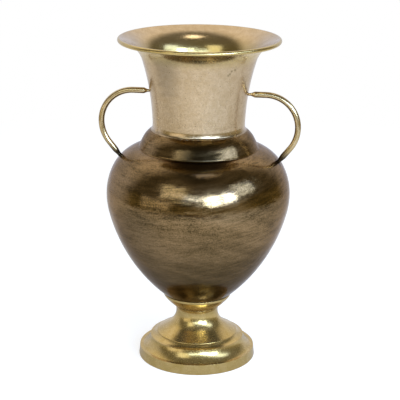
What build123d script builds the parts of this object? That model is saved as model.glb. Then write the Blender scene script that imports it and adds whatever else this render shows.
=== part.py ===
from build123d import *
import os
from math import sqrt

# Two-handled urn vase in millimetres: +Z up, the floor at Z = 0 under the axis, the handles along X.
# Each sheet piece is spun: its outer profile, drawn as radius and height, is thickened and revolved.
# The pieces stack from the floor up, so each level below follows from the heights under it.

# Sheet of the spun pieces
BASE_WALL = 1.2
STEM_WALL = 1.2
CUP_WALL = 1.3
BODY_WALL = 1.2
COLLAR_WALL = 1.2
NECK_WALL = 1.2

# Fits
SLIP_GAP = 0.15
SEAT_GAP = 0.05

# Stepped base: a leaning band, a ledge, a hollow flare and a flat seat for the stem
BASE_RADIUS = 59.6
HEM_WIDTH = 6.0
HEM_INNER_ROUND = 0.2
BAND_HEIGHT = 10.6
BAND_LEAN = 1.0
LEDGE_WIDTH = 3.4
BASE_FLARE_RISE = 11.4
BASE_FLARE_RUN = 7.6
BASE_FLARE_HOLLOW = 1.3
SEAT_WIDTH = 10.0

# Coved ring between the base and the stem
RING_INSET = 0.7
RING_WIDTH = 11.0
RING_RISE = 3.4
COVE_RUN = 5.9
COVE_DEPTH = 0.6

# Stem: a skirt with an upright edge that sweeps up into a waist with a closed top
STEP_HEIGHT = 0.9
SKIRT_RISE = 7.7
WAIST_RADIUS = 21.3
WAIST_FLARE = 7.3
WAIST_RISE = 14.5
STEM_TOP_RISE = 5.2
STEM_TOP_RADIUS = 22.6

# Cup that the body stands in
CUP_DEPTH = 14.2
CUP_ROOM = 5.2
CUP_BULGE = 0.7

# Body: two spun halves, lapped at the belly
BODY_RADIUS = 91.8
BODY_FLOOR_RADIUS = 16.6
BODY_LOWER_HEIGHT = 118.6
LOWER_BELLY_RADIUS = 70.0
LOWER_BELLY_TURN = 14.0
UPPER_BELLY_RADIUS = 60.0
UPPER_BELLY_TURN = 27.0
LAND_WIDTH = 6.7
LAP_HEIGHT = 7.0
LAP_STEP = 3.0
LIP_HEIGHT = 9.0

# Collar over the joint of body and neck
COLLAR_RADIUS = 58.0
COLLAR_RISE = 18.4
COLLAR_BULGE = 3.4

# Neck: a sleeve with a swept foot over the collar, a slow sweep outwards, a flared lip and a rolled bead
NECK_RADIUS = 45.6
NECK_FOOT_RUN = 1.8
NECK_FOOT_RISE = 4.2
NECK_FOOT_HOLLOW = 0.45
NECK_FOOT_EDGE = 0.4
NECK_SLEEVE = 17.5
NECK_SWEEP_RADIUS = 238.0
NECK_SWEEP_TURN = 17.0
LIP_RISE = 18.5
LIP_RUN = 21.9
BEAD_RADIUS = 2.0

# Handles: round rods, necked down to tenons that pass through the neck and the shoulder
ROD_RADIUS = 3.0
HANDLE_RISE = 53.9
HANDLE_RUN = 17.6
HANDLE_UPPER_BEND = 32.0
HANDLE_LOWER_BEND = 34.0
HANDLE_LOWER_TURN = 39.0
UPPER_TENON_RADIUS = 1.4
UPPER_STUB = 2.2
UPPER_TAPER = 5.0
LOWER_TENON_RADIUS = 2.0
LOWER_STUB = 0.8
LOWER_TAPER = 7.0
TENON_PROUD = 1.6

# Stud under the floor of the body that clamps the foot to it, with its plate, washer and nut
STUD_RADIUS = 3.0
STUD_HOLE_GAP = 0.2
STUD_TAIL = 2.5
PLATE_LAP = 4.0
PLATE_THICKNESS = 1.6
PLATE_RIM_HEIGHT = 5.0
WASHER_RADIUS = 7.0
WASHER_THICKNESS = 1.4
NUT_FLATS = 10.0
NUT_HEIGHT = 5.0

# Levels and radii that follow from the sizes above
stud_hole_radius = STUD_RADIUS + STUD_HOLE_GAP
seat_radius = BASE_RADIUS - BAND_LEAN - LEDGE_WIDTH - BASE_FLARE_RUN
seat_bore = seat_radius - SEAT_WIDTH
seat_z = BAND_HEIGHT + BASE_FLARE_RISE
ring_radius = seat_radius - RING_INSET
step_radius = ring_radius - COVE_RUN
step_z = seat_z + RING_RISE
skirt_z = step_z + STEP_HEIGHT + SKIRT_RISE
waist_z = skirt_z + WAIST_RISE
stem_top_z = waist_z + STEM_TOP_RISE
cup_floor_z = stem_top_z + CUP_WALL
cup_rim_z = stem_top_z + CUP_DEPTH
belly_z = cup_floor_z + BODY_LOWER_HEIGHT
plate_z = seat_z - BASE_WALL
lip_radius = NECK_RADIUS - NECK_WALL - SLIP_GAP


def sheet(profile, wall, choose=min):
    """Section of a sheet whose one face is an open profile: thickened inwards with min, outwards with max."""
    line = Wire(profile)
    both = [Face(line.offset_2d(wall, Kind.INTERSECTION, side)) for side in (Side.LEFT, Side.RIGHT)]
    return Sketch() + choose(both, key=lambda face: face.bounding_box().max.X)


def block(inner, outer, low, high):
    """Rectangular section between two radii and two heights."""
    corner = (Align.MIN, Align.MIN)
    return Pos(inner, low) * Rectangle(outer - inner, high - low, align=corner)


def spin(section):
    """Revolves a section, drawn as radius and height, about the axis."""
    return revolve(Plane.XZ * section, Axis.Z)


def radius_on(arc, z, gap=0.0):
    """Outer radius at height z of an arc that bulges away from the axis, grown by a gap."""
    centre = arc.arc_center
    return centre.X + sqrt((arc.radius + gap) ** 2 - (z - centre.Y) ** 2)


def height_on(arc, r, gap=0.0):
    """Height at radius r of an arc that bulges upwards, grown by a gap."""
    centre = arc.arc_center
    return centre.Y + sqrt((arc.radius + gap) ** 2 - (r - centre.X) ** 2)


def body_lower_arcs():
    """Belly and flank of the lower half, from the seam down to the edge of the flat floor."""
    belly = JernArc((BODY_RADIUS, belly_z), (0, -1), LOWER_BELLY_RADIUS, -LOWER_BELLY_TURN)
    flank = TangentArc(belly @ 1, (BODY_FLOOR_RADIUS, cup_floor_z), tangent=belly % 1)
    return belly, flank


def body_upper_arcs():
    """Belly and shoulder of the upper half, from the seam up to the level land under the collar."""
    belly = JernArc((BODY_RADIUS, belly_z), (0, 1), UPPER_BELLY_RADIUS, UPPER_BELLY_TURN)
    shoulder_run = (belly @ 1).X - lip_radius - LAND_WIDTH
    shoulder_radius = shoulder_run / (belly % 1).Y
    shoulder = JernArc(belly @ 1, belly % 1, shoulder_radius, 90 - UPPER_BELLY_TURN)
    return belly, shoulder


lower_belly, flank = body_lower_arcs()
upper_belly, shoulder = body_upper_arcs()
land_z = (shoulder @ 1).Y
neck_sleeve_z = land_z + NECK_SLEEVE
handle_z = land_z + HANDLE_RISE


def foot_base():
    """Stepped base with a hem turned in underneath and a flat seat on top."""
    hem_round = BASE_WALL + HEM_INNER_ROUND
    band_top = BASE_RADIUS - BAND_LEAN
    flare_foot = (band_top - LEDGE_WIDTH, BAND_HEIGHT)
    hem = FilletPolyline(
        (BASE_RADIUS - HEM_WIDTH, 0), (BASE_RADIUS, 0), (band_top, BAND_HEIGHT), radius=hem_round
    )
    ledge = Line((band_top, BAND_HEIGHT), flare_foot)
    flare = SagittaArc(flare_foot, (seat_radius, seat_z), BASE_FLARE_HOLLOW)
    seat = Line((seat_radius, seat_z), (seat_bore, seat_z))
    return spin(sheet([*hem.edges(), ledge, flare, seat], BASE_WALL))


def foot_ring():
    """Solid ring with a coved outside, which carries the edge of the stem on the seat of the base."""
    bore = ring_radius - RING_WIDTH
    cove = SagittaArc((ring_radius, seat_z), (step_radius, step_z), COVE_DEPTH)
    rest = Polyline((step_radius, step_z), (bore, step_z), (bore, seat_z), (ring_radius, seat_z))
    return spin(make_face([cove, *rest.edges()]))


def foot_stem():
    """Waisted stem, from its edge on the ring to the closed top under the cup."""
    skirt_foot = (step_radius, step_z + STEP_HEIGHT)
    skirt_top = (WAIST_RADIUS + WAIST_FLARE, skirt_z)
    waist = (WAIST_RADIUS, waist_z)
    shoulder_edge = (STEM_TOP_RADIUS, stem_top_z)
    step = Line((step_radius, step_z), skirt_foot)
    lower_sweep = TangentArc(waist, skirt_top, tangent=(0, -1))
    skirt = TangentArc(skirt_top, skirt_foot, tangent=lower_sweep % 1)
    upper_sweep = TangentArc(waist, shoulder_edge, tangent=(0, 1))
    side = sheet([step, skirt, lower_sweep, upper_sweep], STEM_WALL)
    above = block(0, STEM_TOP_RADIUS, stem_top_z, stem_top_z + STEM_WALL)
    top = block(stud_hole_radius, STEM_TOP_RADIUS - STEM_WALL, stem_top_z - STEM_WALL, stem_top_z)
    return spin(side - above + top)


def foot_cup():
    """Cup whose inside takes the foot of the body and whose rim just clears its flank."""
    floor_edge = (BODY_FLOOR_RADIUS + CUP_ROOM, cup_floor_z)
    rim = (radius_on(flank, cup_rim_z, SLIP_GAP), cup_rim_z)
    floor = Line((stud_hole_radius, cup_floor_z), floor_edge)
    wall = SagittaArc(floor_edge, rim, -CUP_BULGE)
    return spin(sheet([floor, wall], CUP_WALL, choose=max))


def body_lower():
    """Lower half of the body, a plain bowl with a flat floor."""
    floor = Line((0, cup_floor_z), (BODY_FLOOR_RADIUS, cup_floor_z))
    return spin(sheet([floor, flank, lower_belly], BODY_WALL))


def body_upper():
    """Upper half of the body, with a lip round its mouth and a stepped edge that enters the lower half."""
    land = Line((shoulder @ 1), (lip_radius, land_z))
    lip = Line((lip_radius, land_z), (lip_radius, land_z + LIP_HEIGHT))
    wall = sheet([upper_belly, shoulder, land, lip], BODY_WALL)
    lap_outer = radius_on(lower_belly, belly_z - LAP_HEIGHT, -BODY_WALL - SLIP_GAP)
    lap_inner = lap_outer - BODY_WALL
    step_outer = radius_on(upper_belly, belly_z + LAP_STEP) - BODY_WALL / 2
    step = block(lap_inner, step_outer, belly_z, belly_z + LAP_STEP)
    lap = block(lap_inner, lap_outer, belly_z - LAP_HEIGHT, belly_z + LAP_STEP)
    return spin(wall + step + lap)


def collar_arc():
    """Dome of the collar, from its foot on the shoulder up to the hole round the neck."""
    foot = (COLLAR_RADIUS, height_on(shoulder, COLLAR_RADIUS - COLLAR_WALL, SEAT_GAP))
    return SagittaArc(foot, (NECK_RADIUS + SLIP_GAP, land_z + COLLAR_RISE), -COLLAR_BULGE)


def shoulder_collar():
    """Domed ring that stands on the shoulder and closes round the neck."""
    hole = block(0, NECK_RADIUS + SLIP_GAP, land_z, land_z + COLLAR_RISE)
    return spin(sheet([collar_arc()], COLLAR_WALL) - hole)


def neck_arcs():
    """Sleeve, sweep and flared lip of the neck, from the land of the body up to the bead."""
    sleeve = Line((NECK_RADIUS, land_z), (NECK_RADIUS, neck_sleeve_z))
    sweep_arc = JernArc(sleeve @ 1, (0, 1), NECK_SWEEP_RADIUS, -NECK_SWEEP_TURN)
    lip_end = sweep_arc @ 1 + Vector(LIP_RUN, LIP_RISE)
    lip = TangentArc(sweep_arc @ 1, lip_end, tangent=sweep_arc % 1)
    return sleeve, sweep_arc, lip


def neck_foot():
    """Section of the swept foot of the neck, hollow outside and close over the dome of the collar."""
    dome = collar_arc()
    toe_radius = NECK_RADIUS + NECK_FOOT_RUN
    toe_z = height_on(dome, toe_radius, SEAT_GAP)
    inner = NECK_RADIUS - NECK_WALL / 2
    top_z = land_z + COLLAR_RISE + NECK_FOOT_RISE
    hollow = SagittaArc((toe_radius, toe_z + NECK_FOOT_EDGE), (NECK_RADIUS, top_z), NECK_FOOT_HOLLOW)
    rest = Polyline(hollow @ 1, (inner, top_z), (inner, toe_z), (toe_radius, toe_z), hollow @ 0)
    under = Pos(dome.arc_center.X, dome.arc_center.Y) * Circle(dome.radius + SEAT_GAP)
    return make_face([hollow, *rest.edges()]) - under


def neck():
    """Flared neck that sleeves over the lip of the body and ends in a rolled bead."""
    arcs = neck_arcs()
    lip_end = arcs[-1] @ 1
    bead_centre = lip_end + Vector(0, NECK_WALL / 2)
    bead = Pos(bead_centre.X, bead_centre.Y) * Circle(BEAD_RADIUS)
    return spin(sheet(arcs, NECK_WALL) + bead + neck_foot())


def rod_end(seat, outward, tenon_radius, stub, taper, wall):
    """Necked-down end of a rod: a tenon through the wall at a seat point, then a taper to full size."""
    tenon_length = stub + wall + TENON_PROUD
    tenon_plane = Plane(seat - outward * (wall + TENON_PROUD), z_dir=outward)
    taper_plane = Plane(seat + outward * stub, z_dir=outward)
    bottom = (Align.CENTER, Align.CENTER, Align.MIN)
    tenon = tenon_plane * Cylinder(tenon_radius, tenon_length, align=bottom)
    cone = taper_plane * Cone(tenon_radius, ROD_RADIUS, taper, align=bottom)
    return tenon + cone


def drilled(shell, seat, outward, tenon_radius, wall):
    """Drills a shell for the tenons of both handles."""
    reach = wall + TENON_PROUD
    drill = Plane(seat, z_dir=outward) * Cylinder(tenon_radius + SLIP_GAP, 2 * reach)
    return shell - drill - drill.rotate(Axis.Z, 180)


def first_hit(shell, origin, direction):
    """First point where a ray from outside meets a shell."""
    hits = [point for point, _ in shell.find_intersection_points(Axis(origin, direction))]
    return min(hits, key=lambda point: (point - origin).dot(direction))


base = foot_base()
coved_ring = foot_ring()
stem = foot_stem()
cup = foot_cup()
lower_half = body_lower()
upper_half = body_upper()
collar = shoulder_collar()
neck_shell = neck()

# Handle centreline: out from the neck, round the upper bend, round the lower bend and in to the shoulder
sweep_centre = neck_arcs()[1].arc_center
neck_at_handle = sweep_centre.X - sqrt(NECK_SWEEP_RADIUS**2 - (handle_z - sweep_centre.Y) ** 2)
upper_seat = Vector(neck_at_handle, 0, handle_z)
upper_outward = Vector(1, 0, 0)
run_start = upper_seat + upper_outward * (UPPER_STUB + UPPER_TAPER)
run_end = upper_seat + upper_outward * HANDLE_RUN
upper_bend = JernArc((run_end.X, run_end.Z), (1, 0), HANDLE_UPPER_BEND, -90)
lower_bend = JernArc(upper_bend @ 1, (0, -1), HANDLE_LOWER_BEND, -HANDLE_LOWER_TURN)
tail_start = Vector((lower_bend @ 1).X, 0, (lower_bend @ 1).Y)
tail_inward = Vector((lower_bend % 1).X, 0, (lower_bend % 1).Y)
lower_seat = first_hit(upper_half, tail_start, tail_inward)
lower_outward = tail_inward * -1
tail_end = lower_seat + lower_outward * (LOWER_STUB + LOWER_TAPER)


def handle():
    """Handle on the +X side, as one rod with both ends necked down."""
    bends = Plane.XZ * Wire([upper_bend, lower_bend])
    path = Wire([Line(run_start, run_end), *bends.edges(), Line(tail_start, tail_end)])
    rod = sweep(Plane(run_start, z_dir=upper_outward) * Circle(ROD_RADIUS), path)
    upper_end = rod_end(upper_seat, upper_outward, UPPER_TENON_RADIUS, UPPER_STUB, UPPER_TAPER, NECK_WALL)
    lower_end = rod_end(lower_seat, lower_outward, LOWER_TENON_RADIUS, LOWER_STUB, LOWER_TAPER, BODY_WALL)
    return rod + upper_end + lower_end


# Tie stack, from the floor of the body down to the nut under the plate
washer_z = plate_z - PLATE_THICKNESS
nut_z = washer_z - WASHER_THICKNESS
stud_end_z = nut_z - NUT_HEIGHT - STUD_TAIL


def clamp_plate():
    """Pressed plate that bears up under the seat of the base, with a rim turned down to stiffen it."""
    plate_radius = seat_bore + PLATE_LAP
    face = Line((plate_radius, plate_z), (stud_hole_radius, plate_z))
    rim = Line((plate_radius, plate_z - PLATE_RIM_HEIGHT), (plate_radius, plate_z))
    return spin(sheet([rim, face], PLATE_THICKNESS))


def tie_nut():
    """Hexagonal nut under the washer."""
    section = RegularPolygon(NUT_FLATS / 2, 6, major_radius=False) - Circle(STUD_RADIUS + SEAT_GAP)
    return Pos(0, 0, nut_z - NUT_HEIGHT) * extrude(section, NUT_HEIGHT)


right_handle = handle()
nodes = {
    "foot_base": base,
    "foot_ring": coved_ring,
    "foot_stem": stem,
    "foot_cup": cup,
    "body_lower": lower_half,
    "body_upper": drilled(upper_half, lower_seat, lower_outward, LOWER_TENON_RADIUS, BODY_WALL),
    "shoulder_collar": collar,
    "neck": drilled(neck_shell, upper_seat, upper_outward, UPPER_TENON_RADIUS, NECK_WALL),
    "handle_right": right_handle,
    "handle_left": right_handle.rotate(Axis.Z, 180),
    "tie_stud": spin(block(0, STUD_RADIUS, stud_end_z, cup_floor_z)),
    "clamp_plate": clamp_plate(),
    "tie_washer": spin(block(stud_hole_radius, WASHER_RADIUS, nut_z, washer_z)),
    "tie_nut": tie_nut(),
}

os.makedirs("parts", exist_ok=True)
for name, shape in nodes.items():
    export_step(shape, f"parts/{name}.step")
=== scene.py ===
"""Two-handled urn vase: gold neck, handles and foot on a dark bronze body, in a plain white studio."""
import logging
import math
from dataclasses import dataclass
from enum import Enum
from typing import Callable, Sequence

import bmesh
import bpy
from mathutils import Matrix, Vector


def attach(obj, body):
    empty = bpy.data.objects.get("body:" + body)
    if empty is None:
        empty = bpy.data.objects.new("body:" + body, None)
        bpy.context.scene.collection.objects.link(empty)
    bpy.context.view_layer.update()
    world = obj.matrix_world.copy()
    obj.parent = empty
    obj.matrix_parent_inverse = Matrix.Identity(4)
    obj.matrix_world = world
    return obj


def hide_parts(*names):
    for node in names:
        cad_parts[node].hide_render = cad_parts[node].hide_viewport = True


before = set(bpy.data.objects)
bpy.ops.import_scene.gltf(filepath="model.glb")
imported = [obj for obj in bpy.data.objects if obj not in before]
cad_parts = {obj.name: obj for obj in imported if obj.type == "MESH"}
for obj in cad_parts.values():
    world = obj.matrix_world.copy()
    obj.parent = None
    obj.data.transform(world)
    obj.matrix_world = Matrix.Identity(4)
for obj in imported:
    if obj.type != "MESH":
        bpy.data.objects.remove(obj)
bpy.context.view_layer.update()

# Sizes are in millimetres; finishes, lights and the camera are in metres.
MM = 0.001
BODY = "root"
TURN_STEPS = 160
CORNER_ANGLE = math.radians(30.0)
SEAM_SLACK = 0.05
NODE_SPACING = 180.0
ORIGIN = (0.0, 0.0, 0.0)
UP_AXIS = (0.0, 0.0, 1.0)
# Axis of a turn in the X-Z plane that is positive from +X towards +Z.
TILT_AXIS = (0.0, -1.0, 0.0)
# Sockets of the mix node for colours, whose names repeat for each kind of value.
MIX_SHARE, MIX_FIRST, MIX_SECOND, MIX_RESULT = 0, 6, 7, 2
# Small nicks on the front of the neck.
NECK_NICKS = (
    (0.0333, -0.0425, 0.3022),
    (0.0349, -0.0419, 0.3034),
    (0.0364, -0.0415, 0.3061),
    (0.0393, -0.0391, 0.3071),
)
log = logging.getLogger("urn_vase")

Point = tuple[float, float]
Place = tuple[float, float, float]
Colour = tuple[float, float, float]
Socket = bpy.types.NodeSocket
Material = bpy.types.Material
Tree = bpy.types.NodeTree
Outputs = bpy.types.NodeOutputs
Inputs = bpy.types.NodeInputs
Mesh = bmesh.types.BMesh
Edge = bmesh.types.BMEdge
Vert = bmesh.types.BMVert


class Slot(Enum):
    """Material slots of the record."""

    GOLD = "gold"
    DARK_BRONZE = "dark_bronze"
    PLAIN_STEEL = "plain_steel"


class Ray(Enum):
    """Kinds of light path that the studio tells apart."""

    CAMERA = "Is Camera Ray"
    GLOSSY = "Is Glossy Ray"
    THROUGH = "Is Transmission Ray"


def tangent_centre(start: Point, heading: Point, end: Point) -> Point:
    """Centre of the arc that leaves a point along a heading and arrives at another point.

    Args:
        start: Point where the arc begins, as radius and height.
        heading: Direction of travel at the start.
        end: Point where the arc arrives.

    Returns:
        The centre as radius and height.
    """
    across = Vector((-heading[1], heading[0])).normalized()
    chord = Vector(end) - Vector(start)
    reach = chord.length_squared / (2.0 * across.dot(chord))
    return tuple(Vector(start) + across * reach)


def bulged_centre(start: Point, end: Point, bulge: float) -> Point:
    """Centre of the arc over a chord that bulges to the right of travel.

    Args:
        start: First end of the chord, as radius and height.
        end: Second end of the chord.
        bulge: Height of the arc over the chord, positive to the right of travel.

    Returns:
        The centre as radius and height.
    """
    chord = Vector(end) - Vector(start)
    right = Vector((chord.y, -chord.x)).normalized()
    drop = (chord.length_squared / 4.0 - bulge**2) / (2.0 * bulge)
    return tuple((Vector(start) + Vector(end)) / 2.0 - right * drop)


def moved_off(centre: Point, point: Point, gap: float) -> Point:
    """Point moved away from a centre, or towards it for a negative gap.

    Args:
        centre: Centre of the arc that the point lies on.
        point: Point to move.
        gap: Distance to move it by.

    Returns:
        The moved point.
    """
    out = (Vector(point) - Vector(centre)).normalized()
    return tuple(Vector(point) + out * gap)


def radius_at(centre: Point, size: float, height: float, side: float = 1.0) -> float:
    """Radius of an arc at a height, on its side away from the axis, or for -1 on its near side."""
    return centre[0] + side * math.sqrt(size**2 - (height - centre[1]) ** 2)


class Section:
    """Closed wall section of a turned piece, traced in the X-Z plane with its radius along X."""

    def __init__(self, start: Point) -> None:
        """Starts the trace.

        Args:
            start: First point as radius and height in millimetres.
        """
        self.mesh = bmesh.new()
        self.first = self.mesh.verts.new((start[0] * MM, 0.0, start[1] * MM))
        self.last = self.first

    def line(self, *points: Point) -> "Section":
        """Extrudes the trace in straight lines through points.

        Args:
            points: Points as radius and height in millimetres.

        Returns:
            The section itself.
        """
        for radius, height in points:
            made = bmesh.ops.extrude_vert_indiv(self.mesh, verts=[self.last])
            self.last = made["verts"][0]
            self.last.co = Vector((radius * MM, 0.0, height * MM))
        return self

    def turn(self, centre: Point, degrees: float, steps: int) -> "Section":
        """Spins the end of the trace about a centre.

        Args:
            centre: Centre as radius and height in millimetres.
            degrees: Angle, positive from +X towards +Z.
            steps: Number of chords.

        Returns:
            The section itself.
        """
        made = bmesh.ops.spin(
            self.mesh,
            geom=[self.last],
            cent=(centre[0] * MM, 0.0, centre[1] * MM),
            axis=TILT_AXIS,
            angle=math.radians(degrees),
            steps=steps,
        )
        self.last = [part for part in made["geom_last"] if isinstance(part, Vert)][-1]
        return self

    def arc(self, centre: Point, end: Point, steps: int) -> "Section":
        """Spins the end of the trace about a centre, the short way round, to a point.

        Args:
            centre: Centre as radius and height in millimetres.
            end: Point on the same circle where the arc arrives.
            steps: Number of chords.

        Returns:
            The section itself.
        """
        begin = math.atan2(self.last.co.z / MM - centre[1], self.last.co.x / MM - centre[0])
        finish = math.atan2(end[1] - centre[1], end[0] - centre[0])
        sweep = (finish - begin + math.pi) % math.tau - math.pi
        return self.turn(centre, math.degrees(sweep), steps)

    def revolve(self, steps: int = TURN_STEPS) -> Mesh:
        """Closes the trace and spins it once round the axis.

        Args:
            steps: Number of faces round the axis.

        Returns:
            The turned mesh, with its faces pointing outwards.
        """
        if self.first.co.x > 0.0 or self.last.co.x > 0.0:
            self.mesh.edges.new((self.last, self.first))
        bmesh.ops.spin(
            self.mesh,
            geom=self.mesh.verts[:] + self.mesh.edges[:],
            cent=ORIGIN,
            axis=UP_AXIS,
            angle=math.tau,
            steps=steps,
            use_merge=True,
        )
        bmesh.ops.remove_doubles(self.mesh, verts=self.mesh.verts[:], dist=MM * MM)
        bmesh.ops.recalc_face_normals(self.mesh, faces=self.mesh.faces[:])
        return self.mesh


class Rod:
    """Round rod drawn out from a ring of edges, in the X-Z plane."""

    def __init__(self, start: Point, heading: Point, radius: float, sides: int) -> None:
        """Starts with a capped ring.

        Args:
            start: Middle of the ring, as X and Z in millimetres.
            heading: Direction in which the rod is drawn.
            radius: Radius of the ring in millimetres.
            sides: Number of faces round the rod.
        """
        self.mesh = bmesh.new()
        self.middle = Vector((start[0] * MM, 0.0, start[1] * MM))
        self.heading = Vector((heading[0], 0.0, heading[1])).normalized()
        place = Matrix.Translation(self.middle) @ self.heading.to_track_quat("Z", "Y").to_matrix().to_4x4()
        bmesh.ops.create_circle(self.mesh, cap_ends=True, segments=sides, radius=radius * MM, matrix=place)
        self.ring = self.mesh.edges[:]
        self.radius = radius

    def draw(self, length: float, radius: float | None = None) -> "Rod":
        """Extrudes the ring along its heading, to another radius where one is given.

        Args:
            length: Length of the stretch in millimetres.
            radius: Radius at its end in millimetres.

        Returns:
            The rod itself.
        """
        made = bmesh.ops.extrude_edge_only(self.mesh, edges=self.ring)["geom"]
        verts = [part for part in made if isinstance(part, Vert)]
        bmesh.ops.translate(self.mesh, verts=verts, vec=self.heading * length * MM)
        self.middle = self.middle + self.heading * length * MM
        if radius is not None:
            size = radius / self.radius
            bmesh.ops.scale(
                self.mesh, verts=verts, vec=(size, size, size), space=Matrix.Translation(-self.middle)
            )
            self.radius = radius
        corners = set(verts)
        self.ring = [part for part in made if isinstance(part, Edge) and set(part.verts) <= corners]
        return self

    def ease(self, length: float, radius: float, steps: int) -> "Rod":
        """Tapers to another radius along a soft S-curve.

        Args:
            length: Length of the taper in millimetres.
            radius: Radius at its end in millimetres.
            steps: Number of stretches.

        Returns:
            The rod itself.
        """
        begin = self.radius
        for step in range(1, steps + 1):
            share = step / steps
            soft = share * share * (3.0 - 2.0 * share)
            self.draw(length / steps, begin + (radius - begin) * soft)
        return self

    def bend(self, centre: Point, degrees: float, steps: int) -> "Rod":
        """Spins the ring about a centre in the plane of the rod.

        Args:
            centre: Centre as X and Z in millimetres.
            degrees: Angle, positive from +X towards +Z.
            steps: Number of stretches.

        Returns:
            The rod itself.
        """
        pivot = Vector((centre[0] * MM, 0.0, centre[1] * MM))
        angle = math.radians(degrees)
        made = bmesh.ops.spin(
            self.mesh, geom=self.ring, cent=pivot, axis=TILT_AXIS, angle=angle, steps=steps
        )
        self.ring = [part for part in made["geom_last"] if isinstance(part, Edge)]
        spun = Matrix.Rotation(angle, 3, Vector(TILT_AXIS))
        self.middle = pivot + spun @ (self.middle - pivot)
        self.heading = spun @ self.heading
        return self

    def cap(self) -> Mesh:
        """Closes the end of the rod.

        Returns:
            Its mesh, with the faces pointing outwards.
        """
        bmesh.ops.contextual_create(self.mesh, geom=self.ring)
        bmesh.ops.remove_doubles(self.mesh, verts=self.mesh.verts[:], dist=MM * MM)
        bmesh.ops.recalc_face_normals(self.mesh, faces=self.mesh.faces[:])
        return self.mesh


def soften(mesh: Mesh, width: float, flush: Sequence[Point] = (), segments: int = 2) -> None:
    """Rounds the corners of a mesh, and leaves the corners on flush seams sharp.

    Args:
        mesh: Mesh to round.
        width: Width of the rounding in millimetres.
        flush: Corners, as radius and height, that meet another piece edge to edge.
        segments: Number of faces across the rounding.
    """

    def on_seam(edge: Edge) -> bool:
        """Says whether both ends of an edge lie on a flush corner."""
        places = [(math.hypot(vert.co.x, vert.co.y) / MM, vert.co.z / MM) for vert in edge.verts]
        return any(all(math.dist(place, corner) < SEAM_SLACK for place in places) for corner in flush)

    sharp = [edge for edge in mesh.edges if edge.is_manifold and edge.calc_face_angle() > CORNER_ANGLE]
    kept = {edge for edge in sharp if on_seam(edge)}
    for edge in kept:
        edge.smooth = False
    bmesh.ops.bevel(
        mesh,
        geom=[edge for edge in sharp if edge not in kept],
        offset=width * MM,
        segments=segments,
        profile=0.5,
        affect="EDGES",
        material=-1,
        clamp_overlap=True,
    )


def added(name: str, data: bpy.types.ID) -> bpy.types.Object:
    """Adds an object to the scene.

    Args:
        name: Name of the object.
        data: Its mesh, light or camera.

    Returns:
        The new object.
    """
    made = bpy.data.objects.new(name, data)
    bpy.context.scene.collection.objects.link(made)
    return made


def piece(name: str, mesh: Mesh, finishes: Sequence[Material], nodes: Sequence[str]) -> None:
    """Makes a finished mesh a piece of the vase that stands for its CAD nodes.

    Args:
        name: Name of the piece.
        mesh: Its mesh, in the frame of the vase.
        finishes: Its material, and a second one where the faces turned to the axis have their own.
        nodes: CAD nodes that the piece stands for.
    """
    mesh.normal_update()
    for face in mesh.faces:
        face.smooth = True
        inward = face.normal.xy.dot(face.calc_center_median().xy) < 0.0
        face.material_index = len(finishes) - 1 if inward else 0
    data = bpy.data.meshes.new(name)
    mesh.to_mesh(data)
    mesh.free()
    for finish in finishes:
        data.materials.append(finish)
    made = added(name, data)
    even = made.modifiers.new("Even_shading", "WEIGHTED_NORMAL")
    even.keep_sharp = True
    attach(made, BODY)
    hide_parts(*nodes)
    log.info("%s: %d faces", name, len(data.polygons))


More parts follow.
